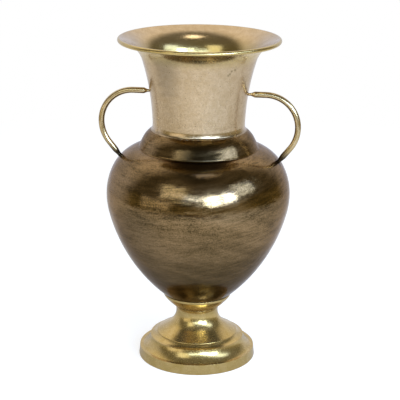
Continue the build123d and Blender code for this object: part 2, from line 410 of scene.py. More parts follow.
class Wiring:
    """Places shader nodes in one tree and joins them."""

    def __init__(self, tree: Tree) -> None:
        """Keeps the tree that the nodes go into."""
        self.tree = tree

    def put(self, value: object, socket: Socket) -> None:
        """Joins a socket to another one, or sets it to a plain value.

        Args:
            value: Socket or value to give.
            socket: Input that takes it.
        """
        if isinstance(value, Socket):
            self.tree.links.new(value, socket)
        else:
            socket.default_value = value

    def node(
        self, kind: str, inputs: dict[str | int, object] | None = None, **settings: object
    ) -> bpy.types.Node:
        """Adds a node.

        Args:
            kind: Type of the node.
            inputs: Sockets or values for its inputs, by name.
            settings: Properties to set on the node.

        Returns:
            The new node.
        """
        made = self.tree.nodes.new(kind)
        made.location = (NODE_SPACING * len(self.tree.nodes), 0.0)
        for name, value in settings.items():
            setattr(made, name, value)
        for name, value in (inputs or {}).items():
            self.put(value, made.inputs[name])
        return made

    def stretch(self, vector: Socket, scale: Place, tilt: Place = ORIGIN) -> Socket:
        """Scales coordinates along each axis after tilting them.

        Args:
            vector: Coordinates.
            scale: Scale along X, Y and Z.
            tilt: Turns about X, Y and Z in degrees.

        Returns:
            The new coordinates.
        """
        turns = tuple(math.radians(angle) for angle in tilt)
        tilted = self.node("ShaderNodeMapping", {"Vector": vector, "Rotation": turns})
        scaled = self.node("ShaderNodeMapping", {"Vector": tilted.outputs[0], "Scale": scale})
        return scaled.outputs[0]

    def noise(
        self, vector: Socket, scale: object, detail: float = 4.0, rough: float = 0.55, bend: float = 0.0
    ) -> Socket:
        """Adds a noise and returns its value.

        Args:
            vector: Coordinates.
            scale: Scale of the noise.
            detail: Number of octaves.
            rough: Weight of the finer octaves.
            bend: Distortion.

        Returns:
            The value of the noise.
        """
        inputs = {"Vector": vector, "Scale": scale, "Detail": detail, "Roughness": rough}
        return self.node("ShaderNodeTexNoise", {**inputs, "Distortion": bend}).outputs[0]

    def span(self, value: Socket, low: float, high: float, start: float = 0.0, end: float = 1.0) -> Socket:
        """Maps a range of values smoothly to another range, and holds it there.

        Args:
            value: Value to map.
            low: Value that becomes start.
            high: Value that becomes end.
            start: First result.
            end: Last result.

        Returns:
            The mapped value.
        """
        inputs = {"Value": value, "From Min": low, "From Max": high, "To Min": start, "To Max": end}
        return self.node("ShaderNodeMapRange", inputs, interpolation_type="SMOOTHSTEP").outputs[0]

    def sums(self, operation: str, first: object, second: object = 0.0) -> Socket:
        """Adds a maths node and returns its value.

        Args:
            operation: Name of the operation.
            first: First socket or number.
            second: Second socket or number.

        Returns:
            The value of the operation.
        """
        made = self.node("ShaderNodeMath", operation=operation)
        self.put(first, made.inputs[0])
        self.put(second, made.inputs[1])
        return made.outputs[0]

    def blend(self, share: Socket, first: object, second: object) -> Socket:
        """Mixes two colours.

        Args:
            share: Share of the second colour.
            first: First colour.
            second: Second colour.

        Returns:
            The mixed colour.
        """
        made = self.node("ShaderNodeMix", data_type="RGBA")
        self.put(share, made.inputs[MIX_SHARE])
        self.put(opaque(first), made.inputs[MIX_FIRST])
        self.put(opaque(second), made.inputs[MIX_SECOND])
        return made.outputs[MIX_RESULT]


def grey(level: float) -> Colour:
    """Neutral colour of a level."""
    return level, level, level


def opaque(colour: object) -> object:
    """Gives a plain colour its alpha, and passes a socket on."""
    return colour if isinstance(colour, Socket) else (*colour, 1.0)


def group(
    name: str,
    numbers: dict[str, float],
    values: Sequence[str],
    wire: Callable[[Wiring, Outputs, Inputs], None],
) -> Tree:
    """Makes a shader node group that reads coordinates, or returns the one made before.

    Args:
        name: Name of the group.
        numbers: Its number inputs with their defaults.
        values: Names of its number outputs.
        wire: Function that joins the nodes between the group's inputs and its outputs.

    Returns:
        The group.
    """
    made = bpy.data.node_groups.get(name)
    if made:
        return made
    made = bpy.data.node_groups.new(name, "ShaderNodeTree")
    made.interface.new_socket("Vector", in_out="INPUT", socket_type="NodeSocketVector")
    for label, default in numbers.items():
        socket = made.interface.new_socket(label, in_out="INPUT", socket_type="NodeSocketFloat")
        socket.default_value = default
    for label in values:
        made.interface.new_socket(label, in_out="OUTPUT", socket_type="NodeSocketFloat")
    wiring = Wiring(made)
    wire(wiring, wiring.node("NodeGroupInput").outputs, wiring.node("NodeGroupOutput").inputs)
    return made


def leaf_mottle() -> Tree:
    """Soft blotches, dark specks and fine grain of a leafed metal skin.

    Returns:
        The node group.
    """

    def wire(wiring: Wiring, given: Outputs, out: Inputs) -> None:
        """Joins the nodes of the group.

        Args:
            wiring: Wiring of the group.
            given: What the group takes in.
            out: What it puts out.
        """
        blotch = wiring.noise(given["Vector"], given["Blotch"], detail=5.0, rough=0.62, bend=0.4)
        grain = wiring.noise(given["Vector"], given["Grain"], detail=3.0, rough=0.6)
        pit = wiring.noise(given["Vector"], given["Speck"], detail=2.0, rough=0.5)
        loose = wiring.span(blotch, 0.35, 0.65, start=-0.05, end=0.05)
        speck = wiring.span(wiring.sums("ADD", pit, loose), 0.68, 0.76)
        wiring.put(wiring.span(blotch, 0.3, 0.7), out["Blotch"])
        wiring.put(grain, out["Grain"])
        wiring.put(speck, out["Speck"])

    numbers = {"Blotch": 150.0, "Grain": 800.0, "Speck": 620.0}
    return group("Leaf_mottle", numbers, ("Blotch", "Grain", "Speck"), wire)


def lathe_lines() -> Tree:
    """Faint level lines that turning leaves round a spun piece, and its slow unevenness.

    Returns:
        The node group.
    """

    def wire(wiring: Wiring, given: Outputs, out: Inputs) -> None:
        """Joins the nodes of the group.

        Args:
            wiring: Wiring of the group.
            given: What the group takes in.
            out: What it puts out.
        """
        lines = wiring.stretch(given["Vector"], (14.0, 14.0, 900.0))
        waves = wiring.stretch(given["Vector"], (16.0, 16.0, 60.0))
        dents = wiring.noise(given["Vector"], given["Dent"], detail=2.0, rough=0.5, bend=0.5)
        wiring.put(wiring.noise(lines, 1.0, detail=3.0, rough=0.6), out["Line"])
        wiring.put(wiring.noise(waves, 1.0, detail=2.0, rough=0.45), out["Wave"])
        wiring.put(dents, out["Dent"])

    return group("Lathe_lines", {"Dent": 42.0}, ("Line", "Wave", "Dent"), wire)


def brush_streaks() -> Tree:
    """Long wiped streaks, level and slightly slanting, with the ground left between them.

    Returns:
        The node group.
    """

    def wire(wiring: Wiring, given: Outputs, out: Inputs) -> None:
        """Joins the nodes of the group.

        Args:
            wiring: Wiring of the group.
            given: What the group takes in.
            out: What it puts out.
        """
        wide = wiring.stretch(given["Vector"], (16.0, 16.0, 80.0), (8.0, -12.0, 0.0))
        thin = wiring.stretch(given["Vector"], (36.0, 36.0, 380.0), (-8.0, 7.0, 0.0))
        thread = wiring.stretch(given["Vector"], (90.0, 90.0, 1000.0), (4.0, 10.0, 0.0))
        wiring.put(wiring.noise(wide, 1.0, detail=6.0, rough=0.6, bend=0.3), out["Broad"])
        wiring.put(wiring.noise(thin, 1.0, detail=5.0, rough=0.65, bend=0.2), out["Fine"])
        wiring.put(wiring.noise(thread, 1.0, detail=3.0, rough=0.6), out["Hair"])
        wiring.put(wiring.noise(given["Vector"], 16.0, bend=0.3), out["Cloud"])

    return group("Brush_streaks", {}, ("Broad", "Fine", "Hair", "Cloud"), wire)


class Finish:
    """Opens a material and gives its wiring, its shader and its coordinates."""

    def __init__(self, name: str) -> None:
        """Makes an empty material with a shader and an output.

        Args:
            name: Name of the material.
        """
        self.material = bpy.data.materials.new(name)
        self.material.use_nodes = True
        self.material.node_tree.nodes.clear()
        self.wiring = Wiring(self.material.node_tree)
        self.shader = self.wiring.node("ShaderNodeBsdfPrincipled")
        output = self.wiring.node("ShaderNodeOutputMaterial")
        self.wiring.put(self.shader.outputs[0], output.inputs["Surface"])
        self.place = self.wiring.node("ShaderNodeTexCoord").outputs["Object"]

    def effect(self, tree: Tree, **numbers: float) -> Outputs:
        """Places a node group in the material.

        Args:
            tree: The group.
            numbers: Values for its inputs.

        Returns:
            The outputs of the group.
        """
        made = self.wiring.node("ShaderNodeGroup", node_tree=tree)
        self.wiring.put(self.place, made.inputs["Vector"])
        for name, value in numbers.items():
            made.inputs[name].default_value = value
        return made.outputs

    def height(self) -> Socket:
        """Height above the floor in metres."""
        return self.wiring.node("ShaderNodeSeparateXYZ", {"Vector": self.place}).outputs["Z"]

    def away(self, spot: Place) -> Socket:
        """Distance in metres from a spot in the frame of the vase."""
        made = self.wiring.node("ShaderNodeVectorMath", {0: self.place, 1: spot}, operation="DISTANCE")
        return made.outputs["Value"]

    def surface(self, colour: Socket, gloss: Socket, metal: float) -> None:
        """Gives the shader its colour, its roughness and its share of metal.

        Args:
            colour: Base colour.
            gloss: Roughness.
            metal: Share of metal.
        """
        self.wiring.put(colour, self.shader.inputs["Base Color"])
        self.wiring.put(gloss, self.shader.inputs["Roughness"])
        self.wiring.put(metal, self.shader.inputs["Metallic"])

    def relief(self, *layers: tuple[Socket, float]) -> None:
        """Adds up bump layers and gives them to the shader.

        Args:
            layers: Value and height in metres of each layer.
        """
        normal: object = None
        for value, depth in layers:
            inputs = {"Strength": 1.0, "Distance": depth, "Height": value}
            if normal is not None:
                inputs["Normal"] = normal
            normal = self.wiring.node("ShaderNodeBump", inputs).outputs[0]
        self.wiring.put(normal, self.shader.inputs["Normal"])


@dataclass(frozen=True)
class GoldLeaf:
    """Champagne gold skin, softly mottled and grained, with rare specks and nicks, soot at the handle
    joints, and painted shade low on the neck, under its lip and in its throat.
    """

    name: str = "Gold_leaf"
    bright: Colour = (0.59, 0.43, 0.25)
    shade: Colour = (0.505, 0.357, 0.19)
    pore: Colour = (0.40, 0.285, 0.155)
    speck: Colour = (0.30, 0.22, 0.11)
    soot_and_shade: Colour = (0.02, 0.014, 0.008)
    specks: float = 0.30
    grain: float = 0.2
    grain_scale: float = 800.0
    grain_range: Point = (0.36, 0.70)
    wave: float = 0.0006
    line: float = 0.00002
    pit: float = 0.00003
    metal: float = 0.95
    smooth: float = 0.19
    dull: float = 0.29
    gloss_range: Point = (0.3, 0.75)
    nicks: tuple[Place, ...] = ()
    nick_reach: Point = (0.0006, 0.0017)
    nick_weight: float = 0.9
    # Dark low down: soot on the handle ends, painted shade at the neck's foot in the crease against the
    # collar.
    soot_and_shade_weight: float = 0.94
    soot_and_shade_below: Point | None = None
    soot_and_shade_ragged: float = 0.001
    # Painted shade: a deeper gold where the metal mirrors itself and the dark room, under the lip and down
    # the throat.
    painted_shade: Colour = (0.58, 0.42, 0.15)
    painted_shade_heights: Point | None = None

    def make(self) -> Material:
        """Builds the material.

        Returns:
            The material.
        """
        made = Finish(self.name)
        wiring = made.wiring
        skin = made.effect(leaf_mottle(), Grain=self.grain_scale)
        lines = made.effect(lathe_lines())
        colour = wiring.blend(skin["Blotch"], self.bright, self.shade)
        # Painted shade between two heights.
        if self.painted_shade_heights:
            depth = wiring.span(made.height(), *self.painted_shade_heights, 1.0, 0.0)
            colour = wiring.blend(depth, colour, self.painted_shade)
        grain = wiring.span(skin["Grain"], *self.grain_range, 0.0, self.grain)
        colour = wiring.blend(grain, colour, self.pore)
        for spot in self.nicks:
            nick = wiring.span(made.away(spot), *self.nick_reach, self.nick_weight, 0.0)
            colour = wiring.blend(nick, colour, self.speck)
        specks = wiring.sums("MULTIPLY", skin["Speck"], self.specks)
        colour = wiring.blend(specks, colour, self.speck)
        # Darkening low down: soot on the handle ends, painted shade at the foot of the neck.
        if self.soot_and_shade_below:
            ragged = wiring.span(skin["Blotch"], 0.0, 1.0, -self.soot_and_shade_ragged, self.soot_and_shade_ragged)
            low = wiring.sums("ADD", made.height(), ragged)
            colour = wiring.blend(wiring.span(low, *self.soot_and_shade_below, self.soot_and_shade_weight, 0.0), colour, self.soot_and_shade)
        gloss = wiring.span(skin["Grain"], *self.gloss_range, self.smooth, self.dull)
        made.surface(colour, gloss, self.metal)
        made.relief((lines["Wave"], self.wave), (lines["Line"], self.line), (skin["Grain"], self.pit))
        return made.material


@dataclass(frozen=True)
class WipedBronze:
    """Dark bronze patina under a thin coat, wiped back in streaks, darker towards the foot and round the
    joints, with painted shade on the front.
    """

    name: str = "Wiped_bronze"
    ground: Colour = (0.060, 0.037, 0.009)
    middle: Colour = (0.212, 0.132, 0.053)
    wiped: Colour = (0.305, 0.195, 0.090)
    # Dark colour of the handle joints and of the painted shade patch on the front.
    joint_dark_and_painted_shade: Colour = (0.018, 0.012, 0.005)
    broad_share: float = 0.4
    fine_share: float = 0.6
    cloud: float = 0.08
    grain: float = 0.13
    grain_scale: float = 1000.0
    even_range: Point = (0.3, 0.7)
    middle_range: Point = (0.28, 0.52)
    wiped_range: Point = (0.48, 0.70)
    hair: float = 0.62
    hair_range: Point = (0.53, 0.72)
    metal: float = 1.0
    smooth: float = 0.135
    dull: float = 0.215
    edge: Colour = (0.68, 0.61, 0.56)
    coat: float = 0.2
    coat_roughness: float = 0.145
    dark_below: Point = (0.080, 0.165)
    dark_ragged: float = 0.012
    dark_weight: float = 0.85
    # Painted shade: a dark patch on the front of the collar foot and upper shoulder, where the metal
    # mirrors the dark room.
    painted_shade_spot: Place = (0.010, -0.0630, 0.221)
    painted_shade_reach: Point = (0.012, 0.034)
    joints: tuple[Place, ...] = ((0.0800, -0.0015, 0.2093), (-0.0800, -0.0015, 0.2093))
    joint_reach: Point = (0.0028, 0.0062)
    spot_weight: float = 0.9
    wave: float = 0.0009
    dent: float = 0.0007
    scratch: float = 0.000012
    pit: float = 0.00004

    def make(self) -> Material:
        """Builds the material.

        Returns:
            The material.
        """
        made = Finish(self.name)
        wiring = made.wiring
        streak = made.effect(brush_streaks())
        skin = made.effect(leaf_mottle(), Grain=self.grain_scale)
        lines = made.effect(lathe_lines())
        cloud = wiring.span(streak["Cloud"], *self.even_range, -self.cloud, self.cloud)
        grain = wiring.span(skin["Grain"], *self.even_range, -self.grain, self.grain)
        tone = wiring.sums("MULTIPLY", streak["Broad"], self.broad_share)
        tone = wiring.sums("ADD", tone, wiring.sums("MULTIPLY", streak["Fine"], self.fine_share))
        tone = wiring.sums("ADD", wiring.sums("ADD", tone, cloud), grain)
        colour = wiring.blend(wiring.span(tone, *self.middle_range), self.ground, self.middle)
        colour = wiring.blend(wiring.span(tone, *self.wiped_range), colour, self.wiped)
        hair = wiring.span(streak["Hair"], *self.hair_range, 0.0, self.hair)
        colour = wiring.blend(hair, colour, self.ground)
        ragged = wiring.span(streak["Broad"], *self.even_range, -self.dark_ragged, self.dark_ragged)
        low = wiring.sums("ADD", made.height(), ragged)
        foot = wiring.span(low, *self.dark_below, self.dark_weight, 0.0)
        colour = wiring.blend(foot, colour, self.ground)
        # The first spot is painted shade on the front; the others darken round the handle joints.
        spots = [(self.painted_shade_spot, self.painted_shade_reach), *((joint, self.joint_reach) for joint in self.joints)]
        for spot, reach in spots:
            spot_share = wiring.span(made.away(spot), *reach, self.spot_weight, 0.0)
            colour = wiring.blend(spot_share, colour, self.joint_dark_and_painted_shade)
        gloss = wiring.span(streak["Fine"], *self.even_range, self.smooth, self.dull)
        made.surface(colour, gloss, self.metal)
        made.shader.inputs["Specular Tint"].default_value = opaque(self.edge)
        made.shader.inputs["Coat Weight"].default_value = self.coat
        made.shader.inputs["Coat Roughness"].default_value = self.coat_roughness
        dents = ((lines["Wave"], self.wave), (lines["Dent"], self.dent))
        made.relief(*dents, (streak["Hair"], self.scratch), (skin["Grain"], self.pit))
        return made.material


@dataclass(frozen=True)
class PlatedSteel:
    """Bright zinc plating, clouded and finely brushed."""

    name: str = "Plated_steel"
    bright: Colour = (0.60, 0.60, 0.58)
    cloudy: Colour = (0.40, 0.41, 0.42)
    blotch_scale: float = 260.0
    metal: float = 1.0
    smooth: float = 0.24
    dull: float = 0.46
    gloss_range: Point = (0.3, 0.7)
    pit: float = 0.00004

    def make(self) -> Material:
        """Builds the material.

        Returns:
            The material.
        """
        made = Finish(self.name)
        wiring = made.wiring
        skin = made.effect(leaf_mottle(), Blotch=self.blotch_scale)
        colour = wiring.blend(skin["Blotch"], self.bright, self.cloudy)
        gloss = wiring.span(skin["Grain"], *self.gloss_range, self.smooth, self.dull)
        made.surface(colour, gloss, self.metal)
        made.relief((skin["Grain"], self.pit))
        return made.material


@dataclass
class Foot:
    """Stepped base, coved ring, waisted stem and the cup under the body."""

    finish: Material
    wall: float = 1.2
    base_radius: float = 59.6
    hem_width: float = 6.0
    hem_round: float = 1.4
    hem_turn: float = 84.6
    band_height: float = 10.6
    band_lean: float = 1.0
    flare_foot: Point = (55.2, 10.6)
    flare_hollow: float = 1.3
    seat: Point = (47.6, 22.0)
    seat_bore: float = 37.6
    ring_radius: float = 46.9
    ring_bore: float = 35.9
    step: Point = (41.0, 25.4)
    cove_depth: float = 0.6
    step_height: float = 0.9
    skirt_top: Point = (28.6, 34.0)
    waist: Point = (21.3, 48.5)
    stem_top: Point = (22.6, 53.7)
    stud_hole: float = 3.2
    cup_wall: float = 1.3
    cup_edge: Point = (21.8, 55.0)
    cup_rim: Point = (34.07, 67.69)
    cup_bulge: float = 0.7
    rim_wall: float = 0.5
    rim_run: float = 2.4
    rim_bulge: float = 0.15
    edge_round: float = 0.3
    band_round: float = 0.7
    fine_round: float = 0.2

    def build(self) -> None:
        """Builds the four pieces of the foot."""
        self.base()
        self.ring()
        self.stem()
        self.cup()

    def dress(self, name: str, mesh: Mesh) -> None:
        """Makes a mesh a gold piece that stands for its node."""
        piece(name, mesh, (self.finish,), (name,))

    def base(self) -> None:
        """Turns the stepped base with its hem."""
        outer, band_top = self.base_radius, self.base_radius - self.band_lean
        hem_in, hem_out = outer - self.hem_width, outer - self.hem_round
        centre = bulged_centre(self.flare_foot, self.seat, -self.flare_hollow)
        size = math.dist(centre, self.seat) + self.wall
        under_seat, under_ledge = self.seat[1] - self.wall, self.band_height - self.wall
        inner_seat = (radius_at(centre, size, under_seat, -1.0), under_seat)
        inner_foot = moved_off(centre, self.flare_foot, self.wall)
        section = Section((hem_in, 0.0)).line((hem_out, 0.0))
        section.turn((hem_out, self.hem_round), self.hem_turn, 6)
        section.line((band_top, self.band_height), self.flare_foot).arc(centre, self.seat, 20)
        section.line((self.seat_bore, self.seat[1]), (self.seat_bore, under_seat), inner_seat)
        section.arc(centre, inner_foot, 20)
        section.line((inner_foot[0], under_ledge), (band_top - self.wall, under_ledge))
        mesh = section.line((outer - self.wall, self.wall), (hem_in, self.wall)).revolve()
        soften(mesh, self.band_round, segments=3)
        self.dress("foot_base", mesh)

    def ring(self) -> None:
        """Turns the coved ring."""
        low, high = self.seat[1], self.step[1]
        foot = (self.ring_radius, low)
        section = Section(foot).arc(bulged_centre(foot, self.step, -self.cove_depth), self.step, 10)
        mesh = section.line((self.ring_bore, high), (self.ring_bore, low)).revolve()
        soften(mesh, self.fine_round)
        self.dress("foot_ring", mesh)

    def stem(self) -> None:
        """Turns the stem with its skirt, waist and closed top."""
        skirt_foot = (self.step[0], self.step[1] + self.step_height)
        lower = tangent_centre(self.waist, (0.0, -1.0), self.skirt_top)
        upper = tangent_centre(self.waist, (0.0, 1.0), self.stem_top)
        spoke = Vector(self.skirt_top) - Vector(lower)
        skirt = tangent_centre(self.skirt_top, (-spoke.y, spoke.x), skirt_foot)
        under = self.stem_top[1] - self.wall
        inner_waist = (self.waist[0] - self.wall, self.waist[1])
        throat = (radius_at(upper, upper[0] - inner_waist[0], under, -1.0), under)
        section = Section(self.step).line(skirt_foot).arc(skirt, self.skirt_top, 14)
        section.arc(lower, self.waist, 22).arc(upper, self.stem_top, 10)
        section.line((self.stud_hole, self.stem_top[1]), (self.stud_hole, under), throat)
        section.arc(upper, inner_waist, 8).arc(lower, moved_off(lower, self.skirt_top, self.wall), 16)
        section.arc(skirt, moved_off(skirt, skirt_foot, self.wall), 10)
        mesh = section.line((self.step[0] - self.wall, self.step[1])).revolve()
        soften(mesh, self.edge_round)
        self.dress("foot_stem", mesh)

    def cup(self) -> None:
        """Turns the cup, with its rim drawn in close round the body."""
        centre = bulged_centre(self.cup_edge, self.cup_rim, self.cup_bulge)
        floor = self.cup_edge[1] - self.cup_wall
        heel = moved_off(centre, self.cup_edge, self.cup_wall)
        section = Section((self.stud_hole, self.cup_edge[1])).line(self.cup_edge)
        section.arc(centre, self.cup_rim, 14)
        spoke = Vector(moved_off(centre, self.cup_rim, self.cup_wall)) - Vector(centre)
        under = tuple(Vector(centre) + Matrix.Rotation(-self.rim_run / spoke.length, 2) @ spoke)
        thin = moved_off(centre, self.cup_rim, self.rim_wall)
        section.turn(moved_off(centre, self.cup_rim, self.rim_wall / 2.0), -180.0, 6)
        section.arc(bulged_centre(thin, under, -self.rim_bulge), under, 6).arc(centre, heel, 14)
        mesh = section.line((self.cup_edge[0], floor), (self.stud_hole, floor)).revolve()
        soften(mesh, self.edge_round)
        self.dress("foot_cup", mesh)


@dataclass
class Body:
    """The two halves of the body and the collar on its shoulder."""

    finish: Material
    collar_finish: Material
    wall: float = 1.2
    gap: float = 0.15
    floor: Point = (16.6, 55.0)
    seam: Point = (91.8, 173.6)
    lower_belly: float = 70.0
    lower_turn: float = 14.0
    upper_belly: float = 60.0
    upper_turn: float = 27.0
    shoulder: float = 38.507
    lap_height: float = 7.0
    lap_step: float = 3.0
    lip_radius: float = 44.25
    lip_height: float = 9.0
    collar_foot: Point = (58.6, 221.3)
    collar_toe: Point = (60.1, 220.72)
    collar_heel: Point = (59.2, 222.43)
    collar_bend: Point = (55.8, 229.4)
    collar_lean: float = 26.0
    collar_dome: float = 23.5
    collar_hole: float = 45.75
    cove_depth: float = 0.25
    edge_round: float = 0.2
    fine_round: float = 0.1

    def build(self) -> None:
        """Builds both halves and the collar."""
        self.lower()
        self.upper()
        self.collar()

    def dress(self, name: str, mesh: Mesh, finish: Material) -> None:
        """Makes a mesh a bronze piece that stands for its node."""
        piece(name, mesh, (finish,), (name,))

    def lower(self) -> None:
        """Turns the lower half, a plain bowl with a closed flat floor."""
        belly = (self.seam[0] - self.lower_belly, self.seam[1])
        turn = math.radians(self.lower_turn)
        join = (belly[0] + self.lower_belly * math.cos(turn), belly[1] - self.lower_belly * math.sin(turn))
        flank = tangent_centre(join, (-math.sin(turn), -math.cos(turn)), self.floor)
        floor_top = self.floor[1] + self.wall
        corner = (radius_at(flank, math.dist(flank, self.floor) - self.wall, floor_top), floor_top)
        section = Section((0.0, self.floor[1])).line(self.floor)
        section.arc(flank, join, 60).arc(belly, self.seam, 14)
        section.line((self.seam[0] - self.wall, self.seam[1]))
        section.arc(belly, moved_off(belly, join, -self.wall), 8).arc(flank, corner, 40)
        mesh = section.line((0.0, floor_top)).revolve()
        soften(mesh, self.edge_round, flush=(self.seam,))
        self.dress("body_lower", mesh, self.finish)

    def upper(self) -> None:
        """Turns the upper half, with its land, its upright lip and the step that enters the lower half."""
        belly = (self.seam[0] - self.upper_belly, self.seam[1])
        turn = math.radians(self.upper_turn)
        join = (belly[0] + self.upper_belly * math.cos(turn), belly[1] + self.upper_belly * math.sin(turn))
        rise = self.upper_belly - self.shoulder
        bend = (belly[0] + rise * math.cos(turn), belly[1] + rise * math.sin(turn))
        land = bend[1] + self.shoulder
        lip_top = land + self.lip_height
        lip, lip_in = self.lip_radius, self.lip_radius - self.wall
        lap_low, lap_top = self.seam[1] - self.lap_height, self.seam[1] + self.lap_step
        inside = radius_at(belly, self.upper_belly - self.wall, lap_top)
        lower_belly = (self.seam[0] - self.lower_belly, self.seam[1])
        lap = radius_at(lower_belly, self.lower_belly - self.wall - self.gap, lap_low)
        section = Section(self.seam).arc(belly, join, 20).arc(bend, (bend[0], land), 30)
        section.line((lip, land), (lip, lip_top), (lip_in, lip_top))
        section.line((lip_in, land - self.wall), (bend[0], land - self.wall))
        section.arc(bend, moved_off(bend, join, -self.wall), 24).arc(belly, (inside, lap_top), 14)
        lap_in = lap - self.wall
        section.line((lap_in, lap_top), (lap_in, lap_low), (lap, lap_low), (lap, self.seam[1]))
        mesh = section.revolve()
        soften(mesh, self.edge_round, flush=(self.seam,))
        self.dress("body_upper", mesh, self.finish)

    def collar(self) -> None:
        """Turns the collar: a small cove on the shoulder, a cone and a dome that closes round the neck."""
        lean = math.radians(self.collar_lean)
        outward = Vector((math.cos(lean), math.sin(lean)))
        centre = tuple(Vector(self.collar_bend) - self.collar_dome * outward)
        across = (self.collar_hole - centre[0]) ** 2
        hole = (self.collar_hole, centre[1] + math.sqrt(self.collar_dome**2 - across))
        under = (self.collar_hole, centre[1] + math.sqrt((self.collar_dome - self.wall) ** 2 - across))
        cove = bulged_centre(self.collar_toe, self.collar_heel, -self.cove_depth)
        section = Section(self.collar_toe).arc(cove, self.collar_heel, 8).line(self.collar_bend)
        section.arc(centre, hole, 26).line(under)
        section.arc(centre, moved_off(centre, self.collar_bend, -self.wall), 20)
        mesh = section.line(self.collar_foot).revolve()
        soften(mesh, self.fine_round)
        self.dress("shoulder_collar", mesh, self.collar_finish)


@dataclass
class Neck:
    """Flared neck with its small swept foot and its rolled bead, lined in gold with painted shade down the
    throat.
    """

    finish: Material
    lining: Material
    wall: float = 1.2
    foot: Point = (45.6, 221.86)
    sleeve: float = 17.5
    collar_centre: Point = (34.68, 219.10)
    collar_level: float = 239.98
    toe: Point = (47.5, 238.87)
    toe_edge: float = 0.26
    instep: Point = (46.16, 241.04)
    sweep_foot: float = 245.2
    toe_hollow: float = 0.25
    foot_hollow: float = 0.11
    sweep: float = 238.0
    sweep_turn: float = 17.0
    lip_run: float = 21.9
    lip_rise: float = 18.5
    bead: float = 2.0
    bead_leave: float = 116.0
    bead_run: float = 9.0
    edge_round: float = 0.2

    def build(self) -> None:
        """Turns the neck."""
        low = self.foot[1] + self.sleeve
        inner = self.foot[0] - self.wall
        bend = (self.foot[0] + self.sweep, low)
        turn = math.radians(self.sweep_turn)
        join = (bend[0] - self.sweep * math.cos(turn), bend[1] + self.sweep * math.sin(turn))
        rim = (join[0] + self.lip_run, join[1] + self.lip_rise)
        lip = tangent_centre(join, (math.sin(turn), math.cos(turn)), rim)
        bead = (rim[0], rim[1] + self.wall / 2.0)
        begin = math.asin(self.wall / 2.0 / self.bead)
        side = bead[0] - self.bead * math.cos(begin)
        size = math.dist(lip, rim)
        under = (side, lip[1] + math.sqrt(size**2 - (side - lip[0]) ** 2))
        inside = rim[0] - self.bead_run
        over = (inside, lip[1] + math.sqrt((size + self.wall) ** 2 - (inside - lip[0]) ** 2))
        start = math.degrees(math.atan2(under[1] - bead[1], under[0] - bead[0])) % 360.0
        toe_top = (self.toe[0], self.toe[1] + self.toe_edge)
        heel = (radius_at(bend, self.sweep, self.sweep_foot, -1.0), self.sweep_foot)
        section = Section(self.foot).line((self.foot[0], self.collar_level))
        section.arc(self.collar_centre, self.toe, 4)
        section.line(toe_top).arc(bulged_centre(toe_top, self.instep, -self.toe_hollow), self.instep, 8)
        section.arc(bulged_centre(self.instep, heel, -self.foot_hollow), heel, 8)
        section.arc(bend, join, 30).arc(lip, under, 30)
        section.turn(bead, (self.bead_leave - start) % 360.0, 28).line(over)
        section.arc(lip, moved_off(lip, join, self.wall), 30)
        section.arc(bend, (inner, low), 24).line((inner, self.foot[1]))
        mesh = section.revolve()
        soften(mesh, self.edge_round)
        piece("neck", mesh, (self.finish, self.lining), ("neck",))


@dataclass
class Handles:
    """Pair of bent rods, each necked down where it enters the neck and the shoulder."""

    finish: Material
    radius: float = 3.0
    level: float = 275.76
    seat: float = 48.40
    run: float = 17.6
    upper_bend: float = 32.0
    lower_bend: float = 34.0
    lower_turn: float = 39.0
    upper_tenon: float = 1.4
    upper_stub: float = 2.2
    upper_taper: float = 5.0
    lower_tenon: float = 2.0
    lower_stub: float = 0.8
    lower_taper: float = 7.0
    proud: float = 1.6
    wall: float = 1.2
    shoulder: Point = (50.95, 183.36)
    shoulder_radius: float = 38.507
    sides: int = 28
    taper_steps: int = 6
    upper_steps: int = 36
    lower_steps: int = 18

    def build(self) -> None:
        """Draws the right-hand rod, and the left-hand one as the same rod turned half round."""
        for name, side in (("handle_right", 0.0), ("handle_left", math.pi)):
            mesh = self.rod()
            bmesh.ops.rotate(mesh, verts=mesh.verts[:], matrix=Matrix.Rotation(side, 3, "Z"))
            piece(name, mesh, (self.finish,), (name,))

    def tail(self) -> float:
        """Measures the straight tail, from the lower bend to the face of the shoulder.

        Returns:
            Its length in millimetres.
        """
        turn = math.radians(self.lower_turn)
        across = self.seat + self.run + self.upper_bend - self.lower_bend
        bend = Vector((across, self.level - self.upper_bend))
        start = bend + self.lower_bend * Vector((math.cos(turn), -math.sin(turn)))
        heading = Vector((-math.sin(turn), -math.cos(turn)))
        away = start - Vector(self.shoulder)
        along = away.dot(heading)
        return -along - math.sqrt(along**2 - away.length_squared + self.shoulder_radius**2)

    def rod(self) -> Mesh:
        """Draws one rod on the +X side.

        Returns:
            Its mesh.
        """
        inside = self.wall + self.proud
        rod = Rod((self.seat - inside, self.level), (1.0, 0.0), self.upper_tenon, self.sides)
        rod.draw(inside + self.upper_stub).ease(self.upper_taper, self.radius, self.taper_steps)
        rod.draw(self.run - self.upper_stub - self.upper_taper)
        end = self.seat + self.run
        middle = self.level - self.upper_bend
        rod.bend((end, middle), -90.0, self.upper_steps)
        rod.bend((end + self.upper_bend - self.lower_bend, middle), -self.lower_turn, self.lower_steps)
        rod.draw(self.tail() - self.lower_stub - self.lower_taper)
        rod.ease(self.lower_taper, self.lower_tenon, self.taper_steps)
        return rod.draw(self.lower_stub + inside).cap()


